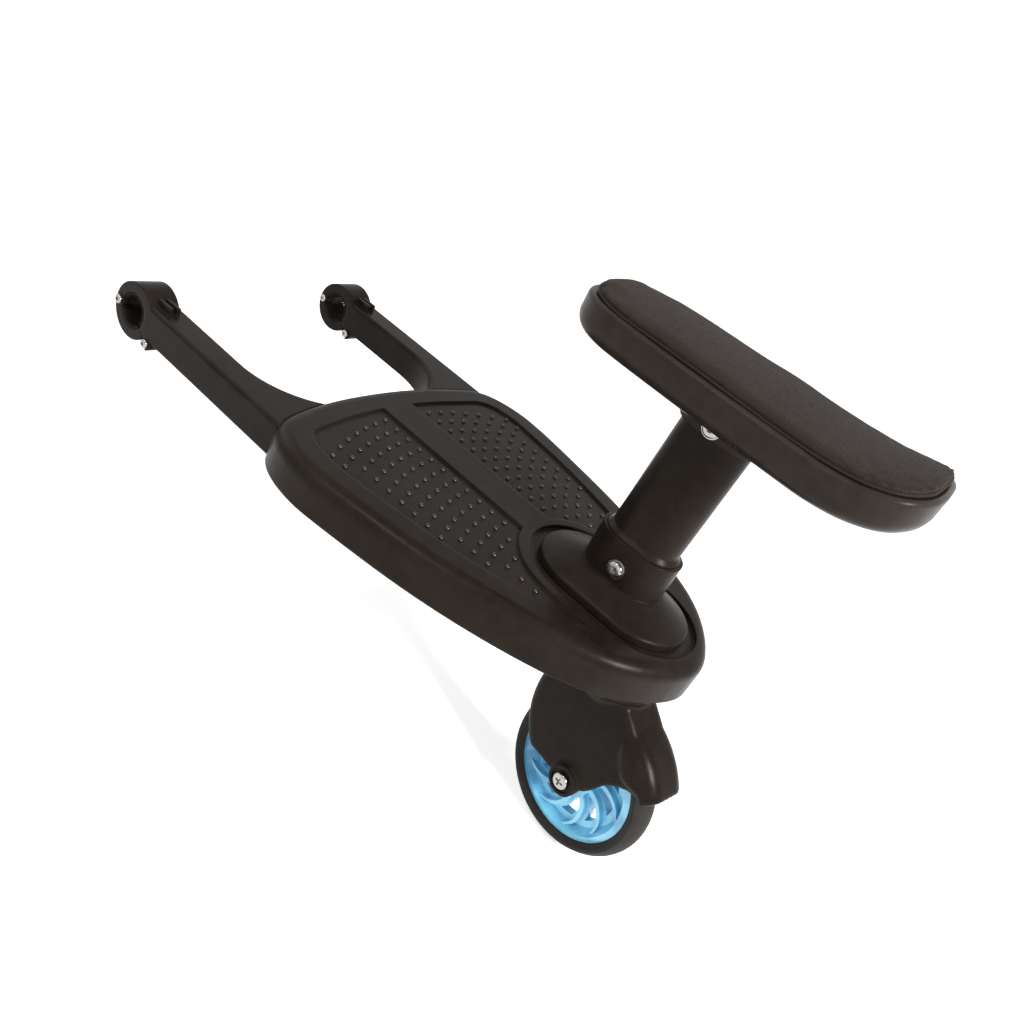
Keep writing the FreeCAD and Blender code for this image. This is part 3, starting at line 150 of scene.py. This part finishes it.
def mouldedPlastic(name, look):
    g = newGraph(name)
    clouds = g.noise(22.0, 4.0)
    fine = g.noise(look["grain"], 2.0)
    patches = g.noise(look["grain"] / 14, 3.0)
    tone = g.span(clouds * 0.6 + patches * 0.4, 0.36, 0.66, 0.0, 1.0)
    colour = g.mix(tone, look["dark"], look["light"])
    drawnOut = g.node("Mapping", {}, {"Vector": g.spot(), "Scale": look["streaks"]})
    scuffs = g.noise(9.0, 6.0, 0.7, drawnOut)
    worn = g.span(scuffs, 0.62, 0.74, 0.0, 0.14)  # faint rubbed streaks
    rough = g.span(clouds + fine * 0.5, 0.5, 1.0, look["rough"] - 0.07, look["rough"] + 0.09) + worn
    soft = g.node("Bevel", {"samples": 6}, {"Radius": look["edge"]}, "Normal")  # no moulded edge is crisp
    bump = g.bump(fine + patches * 0.5, 0.5, look["grainDepth"], soft)
    return g.surface(Base_Color=colour, Roughness=rough, Normal=bump, Specular_IOR_Level=look["gloss"],
                     Specular_Tint=(1.0, 0.88, 0.79, 1.0))


padLook = {"dark": (0.0138, 0.01, 0.0079), "light": (0.0215, 0.016, 0.013), "rough": 0.6,
           "grain": 620.0, "grainDepth": 0.00016}


def padCover(name, look):
    g = newGraph(name)
    spot = g.spot()
    warp = g.node("TexNoise", {}, {"Vector": spot, "Scale": 160.0, "Detail": 2.0}, "Color")
    bent = g.node("Mix", {"data_type": "VECTOR"}, {"Factor": 0.006, 4: spot, 5: warp}, 1)
    cells = g.node("TexVoronoi", {"feature": "DISTANCE_TO_EDGE"},
                   {"Vector": bent, "Scale": look["grain"]}, "Distance")
    crease = g.span(cells, 0.0, 0.22, 0.0, 1.0)
    clouds = g.noise(14.0, 4.0)
    tone = g.span(clouds, 0.35, 0.65, 0.1, 0.8) * g.span(crease, 0.0, 1.0, 0.7, 1.0)
    colour = g.mix(tone, look["dark"], look["light"])
    rough = g.span(crease, 0.0, 1.0, look["rough"] + 0.12, look["rough"] - 0.05)
    bump = g.bump(crease, 0.6, look["grainDepth"])
    return g.surface(Base_Color=colour, Roughness=rough, Normal=bump, Specular_IOR_Level=0.09,
                     Specular_Tint=(1.0, 0.9, 0.82, 1.0))


def platedMetal(name, colour, rough, brushed):
    g = newGraph(name)
    streaks = g.noise(900.0, 2.0)
    clouds = g.noise(60.0, 3.0)
    tone = g.mix(g.span(clouds, 0.35, 0.65, 0.0, 1.0), tuple(c * 0.86 for c in colour), colour)
    roughness = g.span(clouds, 0.3, 0.7, rough * 0.7, rough * 1.4)
    bump = g.bump(streaks, brushed, 0.00003)
    return g.surface(Base_Color=tone, Metallic=1.0, Roughness=roughness, Normal=bump)


tyreLook = {"dark": (0.0125, 0.0105, 0.009), "light": (0.022, 0.019, 0.0165), "rough": 0.62, "gloss": 0.14}


def tyreRubber(name, look):
    g = newGraph(name)
    dust = g.noise(70.0, 5.0)
    fine = g.noise(1900.0, 2.0)
    colour = g.mix(g.span(dust, 0.38, 0.68, 0.0, 1.0), look["dark"], look["light"])
    rough = g.span(dust, 0.3, 0.7, look["rough"] - 0.08, look["rough"] + 0.1)
    return g.surface(Base_Color=colour, Roughness=rough, Normal=g.bump(fine, 0.5, 0.00005),
                     Specular_IOR_Level=look["gloss"])


# rim blues: the light blue is partly the rim's pearly tone and partly a painted highlight; the deep blue is
# partly painted dark reflection
rimLook = {"deep": (0.055, 0.25, 0.46), "pearlAndPaintedHighlight": (0.2, 0.58, 0.8), "rough": 0.2}


def pearlBlueWithPaintedReflections(name, look):
    g = newGraph(name)
    clouds = g.noise(34.0, 2.0)
    flakes = g.noise(2600.0, 1.0)
    # large blotches between the two blues: a pearly tone whose contrast is widened to paint in dark
    # reflections and highlights
    tone = g.span(clouds * 0.8 + flakes * 0.2, 0.36, 0.54, 0.0, 1.0)
    colour = g.mix(tone, look["deep"], look["pearlAndPaintedHighlight"])
    rough = g.span(flakes, 0.3, 0.7, look["rough"] - 0.06, look["rough"] + 0.08)
    return g.surface(Base_Color=colour, Roughness=rough, Normal=g.bump(flakes, 0.2, 0.00003),
                     Coat_Weight=0.5, Coat_Roughness=0.12, Specular_IOR_Level=0.5)


def naturalPlastic(name, colour):
    g = newGraph(name)
    clouds = g.noise(40.0, 3.0)
    tone = g.mix(clouds, tuple(c * 0.8 for c in colour), colour)
    return g.surface(Base_Color=tone, Roughness=g.span(clouds, 0.3, 0.7, 0.4, 0.55))


saddleLook = {**mouldedLook, "dark": (0.0145, 0.011, 0.0088), "light": (0.025, 0.0195, 0.016), "gloss": 0.1}
linerLook = {"dark": (0.005, 0.004, 0.0034), "light": (0.009, 0.0074, 0.0064), "rough": 0.66, "gloss": 0.06}

finishes = {
    "black_plastic": mouldedPlastic("mouldedPlastic", mouldedLook),
    "seat_plastic": mouldedPlastic("saddlePlastic", saddleLook),
    "pad_cover": padCover("padCover", padLook),
    "liner_rubber": tyreRubber("linerRubber", linerLook),
    "chrome": platedMetal("platedScrew", (0.34, 0.33, 0.32), 0.2, 0.15),
    "steel": platedMetal("zincSteel", (0.52, 0.52, 0.53), 0.36, 0.4),
    "bush_plastic": naturalPlastic("bushPlastic", (0.6, 0.57, 0.5)),
    "rim_blue": pearlBlueWithPaintedReflections("pearlBlueWithPaintedReflections", rimLook),
    "tyre": tyreRubber("tyreRubber", tyreLook),
}
bodyOf = {node: body for body, held in frame["record"]["behaviour"]["bodies"].items() for node in held}
slotOf = {part["node"]: part["material_slot"] for part in frame["record"]["subparts"]}
for name, thing in nodes.items():
    thing.data.materials.clear()
    thing.data.materials.append(finishes[slotOf[name]])
print("finishes set")


# Modelling helpers

def pickOnly(thing=None):
    bpy.ops.object.select_all(action="DESELECT")
    if thing:
        thing.select_set(True)
        bpy.context.view_layer.objects.active = thing


def editing(thing):
    pickOnly(thing)
    bpy.ops.object.mode_set(mode="EDIT")
    bpy.ops.mesh.select_all(action="DESELECT")


def doneEditing():
    bpy.ops.object.mode_set(mode="OBJECT")


def pickFaces(thing, test):  # leaves edit mode on, with the matching faces picked
    editing(thing)
    bpy.ops.mesh.select_mode(type="FACE")
    doneEditing()
    for face in thing.data.polygons:
        face.select = test(face)
    bpy.ops.object.mode_set(mode="EDIT")


def applyAll(thing):
    pickOnly(thing)
    for modifier in list(thing.modifiers):
        bpy.ops.object.modifier_apply(modifier=modifier.name)


def mergedCopy(node, name):
    copy = bpy.data.objects.new(name, nodes[node].data.copy())
    bpy.context.scene.collection.objects.link(copy)
    editing(copy)
    bpy.ops.mesh.select_all(action="SELECT")
    bpy.ops.mesh.remove_doubles(threshold=1e-6)
    doneEditing()
    return copy


def remeshed(thing, size):
    remesh = thing.modifiers.new("remesh", "REMESH")
    remesh.mode = "VOXEL"
    remesh.voxel_size = size
    applyAll(thing)


def evened(thing, passes):
    even = thing.modifiers.new("even", "SMOOTH")
    even.iterations = passes
    applyAll(thing)


def smoothBy(thing, degrees):
    pickOnly(thing)
    bpy.ops.object.shade_smooth_by_angle(angle=math.radians(degrees))


def finishPiece(thing, body, slot, replaced=()):
    thing.data.materials.clear()
    thing.data.materials.append(finishes[slot])
    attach(thing, body)
    if replaced:
        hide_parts(*replaced)


# Stud caps: a small glossy dome over each moulded stud

studCap = {"width": 0.0038, "height": 0.0019, "floor": 0.1882, "tip": 0.1896, "sides": 10, "rings": 6,
           "foot": 0.0002, "slack": 0.00005, "apart": 0.003}
studLook = {**mouldedLook, "rough": 0.22, "edge": 0.0001, "gloss": 0.5}


def studSpots():  # middles of the flat stud tips on the deck
    groups = []
    for face in nodes["deck"].data.polygons:
        if face.normal.z < 0.99 or abs(face.center.z - studCap["tip"]) > studCap["slack"]:
            continue
        spot = face.center.xy
        group = next((held for held in groups if (held[0] - spot).length < studCap["apart"]), None)
        if group is None:
            group = []
            groups.append(group)
        group.append(spot)
    return [sum(group, Vector((0, 0))) / len(group) for group in groups]


def makeStudCaps():
    look = studCap
    pickOnly()
    bpy.ops.mesh.primitive_uv_sphere_add(segments=look["sides"], ring_count=look["rings"], radius=1)
    dome = bpy.context.object
    dome.scale = (look["width"] / 2, look["width"] / 2, look["height"])
    bpy.ops.object.transform_apply(scale=True)
    editing(dome)
    bpy.ops.mesh.select_all(action="SELECT")
    bpy.ops.mesh.bisect(plane_co=(0, 0, -look["foot"]), plane_no=(0, 0, 1), clear_inner=True, use_fill=True)
    doneEditing()
    smoothBy(dome, 50)
    caps = []
    for spot in studSpots():
        cap = bpy.data.objects.new("studCaps", dome.data.copy())
        cap.data.transform(Matrix.Translation((spot.x, spot.y, look["floor"])))
        bpy.context.scene.collection.objects.link(cap)
        caps.append(cap)
    bpy.data.objects.remove(dome)
    pickOnly(caps[0])
    for cap in caps:
        cap.select_set(True)
    bpy.ops.object.join()
    finishPiece(caps[0], "board", "black_plastic")
    caps[0].data.materials[0] = mouldedPlastic("studPlastic", studLook)
    print("stud caps:", len(caps))


makeStudCaps()


# Seat pad: swollen a little by cloth, with a sewn welt round its foot

padSewing = {"voxel": 0.002, "smaller": 0.0004, "pressure": 1.6, "cap": 0.0011, "frames": 20,
             "top": 0.356, "kickRun": 0.06198, "kickRise": 0.013, "weltRadius": 0.0011, "weltDrop": 0.0043,
             "weltDrawIn": 0.0006, "weltOver": 0.0032, "clear": 0.0001, "seated": 0.0021,
             "heldUnder": 0.0014, "stiffness": 25, "passes": 8}
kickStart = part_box("seat_pan")[0][1] + padSewing["kickRun"]


def panTop(y):  # height of the saddle's upper face
    run, rise = padSewing["kickRun"], padSewing["kickRise"]
    radius = (run ** 2 + rise ** 2) / (2 * rise)
    back = min(max(kickStart - y, 0.0), run)
    return padSewing["top"] + radius - math.sqrt(radius ** 2 - back ** 2)


def blowUp(thing):
    look = padSewing
    rest = thing.vertex_groups.new(name="rest")
    low = [v.index for v in thing.data.vertices if v.co.z - panTop(v.co.y) < look["heldUnder"]]
    rest.add(low, 1.0, "REPLACE")
    before = [v.co.copy() for v in thing.data.vertices]
    cloth = thing.modifiers.new("cloth", "CLOTH")
    cloth.settings.use_pressure = True
    cloth.settings.uniform_pressure_force = look["pressure"]
    cloth.settings.effector_weights.gravity = 0
    cloth.settings.vertex_group_mass = "rest"
    cloth.settings.tension_stiffness = cloth.settings.compression_stiffness = look["stiffness"]
    for step in range(1, look["frames"] + 1):
        bpy.context.scene.frame_set(step)
    applyAll(thing)
    for vertex, start in zip(thing.data.vertices, before):
        move = vertex.co - start
        if move.length > look["cap"]:
            vertex.co = start + move.normalized() * look["cap"]
    bpy.context.scene.frame_set(1)


def sitOnSaddle(pad, reach):  # points lower than reach go down to the saddle
    for vertex in pad.data.vertices:
        floor = panTop(vertex.co.y) + padSewing["clear"]
        if vertex.co.z < floor + reach:
            vertex.co.z = floor


def makeSeatPad():
    look = padSewing
    pad = mergedCopy("seat_pad", "seatPad")
    editing(pad)
    bpy.ops.mesh.select_all(action="SELECT")
    bpy.ops.transform.shrink_fatten(value=-look["smaller"])
    doneEditing()
    remeshed(pad, look["voxel"])
    evened(pad, 1)
    blowUp(pad)
    sitOnSaddle(pad, 0.0)
    evened(pad, look["passes"])
    sitOnSaddle(pad, look["seated"])
    finer = pad.modifiers.new("finer", "SUBSURF")
    finer.levels = finer.render_levels = 1
    applyAll(pad)
    pickOnly(pad)
    bpy.ops.object.shade_smooth()
    finishPiece(pad, "board", "pad_cover", ("seat_pad",))


def makeWelt():
    look = padSewing
    welt = mergedCopy("seat_pad", "padWelt")
    editing(welt)
    bpy.ops.mesh.select_mode(type="EDGE")
    bpy.ops.mesh.edges_select_sharp(sharpness=math.radians(50))
    doneEditing()
    spots = [v.co.copy() for v in welt.data.vertices]
    for edge in welt.data.edges:
        lift = min(spots[i].z - panTop(spots[i].y) for i in edge.vertices)
        edge.select = edge.select and lift > look["weltOver"]
    bpy.ops.object.mode_set(mode="EDIT")
    bpy.ops.mesh.select_all(action="INVERT")
    bpy.ops.mesh.delete(type="EDGE")
    bpy.ops.mesh.select_all(action="SELECT")
    bpy.ops.mesh.delete_loose(use_verts=True, use_edges=False, use_faces=False)
    bpy.ops.mesh.select_all(action="SELECT")
    bpy.ops.transform.translate(value=(0, 0, -look["weltDrop"]))
    low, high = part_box("seat_pad")
    drawIn = [1 - 2 * look["weltDrawIn"] / (high[i] - low[i]) for i in (0, 1)]
    bpy.ops.transform.resize(value=(*drawIn, 1), center_override=(0, (low[1] + high[1]) / 2, 0))
    doneEditing()
    pickOnly(welt)
    bpy.ops.object.convert(target="CURVE")
    line = bpy.context.object
    loops = sorted(line.data.splines, key=lambda spline: len(spline.points))
    for holeRim in loops[:-1]:  # rims of the pad's screw holes
        line.data.splines.remove(holeRim)
    line.data.bevel_depth = look["weltRadius"]
    line.data.bevel_resolution = 3
    bpy.ops.object.convert(target="MESH")
    bpy.ops.object.shade_smooth()
    finishPiece(bpy.context.object, "board", "pad_cover")


makeSeatPad()
makeWelt()
print("seat pad sewn")


# Where the wheel's axle lies, for its screw and the rings round it

axlePlace = {"middle": (-0.003816, -0.194633, 0.06), "yaw": math.radians(-11.0), "headOut": 0.0266}


def alongAxle(reach):
    yaw = axlePlace["yaw"]
    return Vector(axlePlace["middle"]) + Vector((math.cos(yaw), math.sin(yaw), 0)) * reach


def lieAlong(mesh, start, turn):  # from upright to along +x, turned about z
    turned = Matrix.Rotation(turn, 4, "Z") @ Matrix.Rotation(math.pi / 2, 4, "Y")
    mesh.transform(Matrix.Translation(start) @ turned)


# Bolts with domed heads: the head starts at z 0, the shank runs along +z

boltKinds = {
    "cross": {"head": 0.0062, "height": 0.0036, "dome": 0.0016, "shank": 0.004, "length": 0.052,
              "recess": "cross", "slot": 0.0015, "reach": 0.0034, "deep": 0.0017},
    "button": {"head": 0.0055, "height": 0.003, "dome": 0.0019, "shank": 0.003, "length": 0.0459,
               "recess": "hex", "slot": 0.0024, "reach": 0.0, "deep": 0.0018},
    "seatButton": {"head": 0.0055, "height": 0.003, "dome": 0.0019, "shank": 0.003, "length": 0.0479,
                   "recess": "hex", "slot": 0.0024, "reach": 0.0, "deep": 0.0018},
    "pin": {"head": 0.0034, "height": 0.0022, "dome": 0.0012, "shank": 0.002, "length": 0.0244,
            "recess": "hex", "slot": 0.0015, "reach": 0.0, "deep": 0.0012},
    "closing": {"head": 0.0034, "height": 0.0022, "dome": 0.0012, "shank": 0.002, "length": 0.0276,
                "recess": "hex", "slot": 0.0015, "reach": 0.0, "deep": 0.0012},
}


def makeCutter(kind):
    pickOnly()
    if kind["recess"] == "hex":
        bpy.ops.mesh.primitive_cylinder_add(vertices=6, radius=kind["slot"], depth=2 * kind["deep"])
        return bpy.context.object
    bpy.ops.mesh.primitive_cube_add(size=1)
    cutter = bpy.context.object
    cutter.scale = (2 * kind["reach"], kind["slot"], 2 * kind["deep"])
    bpy.ops.object.transform_apply(scale=True)
    bpy.ops.object.duplicate()
    other = bpy.context.object
    other.rotation_euler = (0, 0, math.pi / 2)
    bpy.ops.object.transform_apply(rotation=True)
    join = cutter.modifiers.new("join", "BOOLEAN")
    join.operation = "UNION"
    join.object = other
    applyAll(cutter)
    bpy.data.objects.remove(other)
    return cutter


def makeBolt(kind):
    pickOnly()
    bpy.ops.mesh.primitive_cylinder_add(vertices=48, radius=kind["head"], depth=kind["height"],
                                        location=(0, 0, kind["height"] / 2))
    bolt = bpy.context.object
    bpy.ops.object.transform_apply(location=True)
    pickFaces(bolt, lambda face: face.normal.z > 0.9)  # seat of the head, drawn out to the shank
    bpy.ops.mesh.inset(thickness=kind["head"] - kind["shank"])
    bpy.ops.mesh.extrude_region_move(TRANSFORM_OT_translate={"value": (0, 0, kind["length"])})
    doneEditing()
    pickFaces(bolt, lambda face: face.normal.z < -0.9 and face.center.z < 1e-5)
    bpy.ops.mesh.bevel(offset=kind["dome"], segments=6, affect="EDGES")
    doneEditing()
    cutter = makeCutter(kind)
    cut = bolt.modifiers.new("cut", "BOOLEAN")
    cut.operation = "DIFFERENCE"
    cut.object = cutter
    applyAll(bolt)
    bpy.data.objects.remove(cutter)
    smoothBy(bolt, 32)
    return bolt


def placeBolt(bolt, name, node, body, start, turn=0.0):  # a copy along +x, turned about z
    copy = bpy.data.objects.new(name, bolt.data.copy())
    bpy.context.scene.collection.objects.link(copy)
    lieAlong(copy.data, start, turn)
    finishPiece(copy, body, "chrome", (node,))


def headStart(node):  # middle of a bolt's outer face, for a bolt along x
    low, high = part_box(node)
    return (low[0], (low[1] + high[1]) / 2, (low[2] + high[2]) / 2)


def makeBolts():
    made = {name: makeBolt(kind) for name, kind in boltKinds.items()}
    placeBolt(made["button"], "baseButton", "base_bolt", "board", headStart("base_bolt"))
    placeBolt(made["seatButton"], "seatButton", "seat_bolt", "board", headStart("seat_bolt"))
    for side in ("left", "right"):
        pin, bolt = "clamp_pin_" + side, "clamp_bolt_" + side
        placeBolt(made["pin"], "hingePin_" + side, pin, "board", headStart(pin))
        placeBolt(made["closing"], "closingBolt_" + side, bolt, bodyOf[bolt], headStart(bolt))
    placeBolt(made["cross"], "axleScrew", "axle_bolt", bodyOf["axle_bolt"], alongAxle(-axlePlace["headOut"]),
              axlePlace["yaw"])
    for bolt in made.values():
        bpy.data.objects.remove(bolt)


makeBolts()
print("bolts placed")


# Fork: its solid with the steps of hood and fender run softly into each other

forkMould = {"voxel": 0.001, "passes": 14}


def makeForkShell():
    look = forkMould
    shell = mergedCopy("caster_fork", "forkShell")
    remeshed(shell, look["voxel"])
    evened(shell, look["passes"])
    pickOnly(shell)
    bpy.ops.object.shade_smooth()
    finishPiece(shell, "caster", "black_plastic", ("caster_fork",))
    print("fork shell:", len(shell.data.polygons), "faces")


makeForkShell()


# Raised ring round the axle screw on both cheeks

bossRing = {"outer": 0.0117, "inner": 0.0088, "height": 0.0013, "edge": 0.0005, "face": 0.023}


def makeBossRing(side):
    look = bossRing
    pickOnly()
    bpy.ops.mesh.primitive_cylinder_add(vertices=72, radius=look["outer"], depth=look["height"])
    made = bpy.context.object
    made.name = "bossRing_" + ("left" if side < 0 else "right")
    pickFaces(made, lambda face: abs(face.normal.z) > 0.9)
    bpy.ops.mesh.inset(thickness=look["outer"] - look["inner"])
    bpy.ops.mesh.bridge_edge_loops()  # opens the middle from face to face
    doneEditing()
    softEdge = made.modifiers.new("softEdge", "BEVEL")
    softEdge.width = look["edge"]
    softEdge.segments = 3
    softEdge.limit_method = "ANGLE"
    applyAll(made)
    smoothBy(made, 40)
    lieAlong(made.data, alongAxle(side * (look["face"] + look["height"] / 2)), axlePlace["yaw"])
    finishPiece(made, "caster", "black_plastic")


makeBossRing(-1)
makeBossRing(1)
print("boss rings set")


# Stage, light and camera

studio = {"floorSize": 16, "floorDrop": 0.0005, "floorGrey": 0.86, "floorGlow": 0.62, "skyLight": 0.45,
          "skySeen": 1.0}
lamps = {  # place, aim, size, power
    "keyLamp": ((-0.9, 0.3, 1.6), (0, 0, 0.2), 0.5, 8),
    "sideLamp": ((-1.5, -0.55, 0.55), (0, -0.05, 0.15), 1.1, 4),
    "frontLamp": ((-0.15, 1.6, 1.1), (0, 0, 0.2), 1.2, 7),
    "rearLamp": ((-0.3, -1.35, 1.1), (0, -0.12, 0.15), 0.4, 38),
}


def makeFloor():
    pickOnly()
    bpy.ops.mesh.primitive_plane_add(size=studio["floorSize"], location=(0, 0, -studio["floorDrop"]))
    floor = bpy.context.object
    floor.name = "studioFloor"
    g = newGraph("studioFloor")
    matte = g.node("BsdfDiffuse", {}, {"Color": (studio["floorGrey"],) * 3})
    glow = g.node("Emission", {}, {"Color": (1.0, 1.0, 1.0), "Strength": studio["floorGlow"]})
    both = g.node("AddShader", {}, {0: matte, 1: glow})
    floor.data.materials.append(g.show(g.node("MixShader", {}, {0: g.whiteRays(), 1: matte, 2: both})))


def makeWorld():
    g = Graph(bpy.data.worlds.new("studio"))
    bpy.context.scene.world = g.holder
    soft = g.node("Background", {}, {"Color": (1.0, 1.0, 1.0), "Strength": studio["skyLight"]})
    white = g.node("Background", {}, {"Color": (1.0, 1.0, 1.0), "Strength": studio["skySeen"]})
    g.show(g.node("MixShader", {}, {0: g.whiteRays(), 1: soft, 2: white}), "World")


def makeLamp(name, place, aim, size, power):
    pickOnly()
    bpy.ops.object.light_add(type="AREA", location=place)
    lamp = bpy.context.object
    lamp.name = name
    lamp.data.size = size
    lamp.data.energy = power
    lamp.rotation_mode = "QUATERNION"
    lamp.rotation_quaternion = (Vector(aim) - Vector(place)).to_track_quat("-Z", "Y")


view = {"place": (-0.5018, -0.2636, 0.4851), "lens": 30.88,
        "right": (0.55963, -0.71412, 0.42053), "up": (0.19930, 0.60850, 0.76812),
        "back": (-0.80442, -0.34605, 0.48286)}


def makeCamera():
    camera = bpy.data.objects.new("camera", bpy.data.cameras.new("camera"))
    bpy.context.scene.collection.objects.link(camera)
    turn = Matrix((view["right"], view["up"], view["back"])).transposed().to_4x4()
    camera.matrix_world = Matrix.Translation(view["place"]) @ turn
    camera.data.sensor_width = 36.0
    camera.data.lens = view["lens"]
    camera.data.clip_start = 0.01
    camera.data.clip_end = 50
    bpy.context.scene.camera = camera


makeFloor()
makeWorld()
for name, (place, aim, size, power) in lamps.items():
    makeLamp(name, place, aim, size, power)
makeCamera()
bpy.context.scene.view_settings.view_transform = "Standard"
print("stage, light and camera ready")
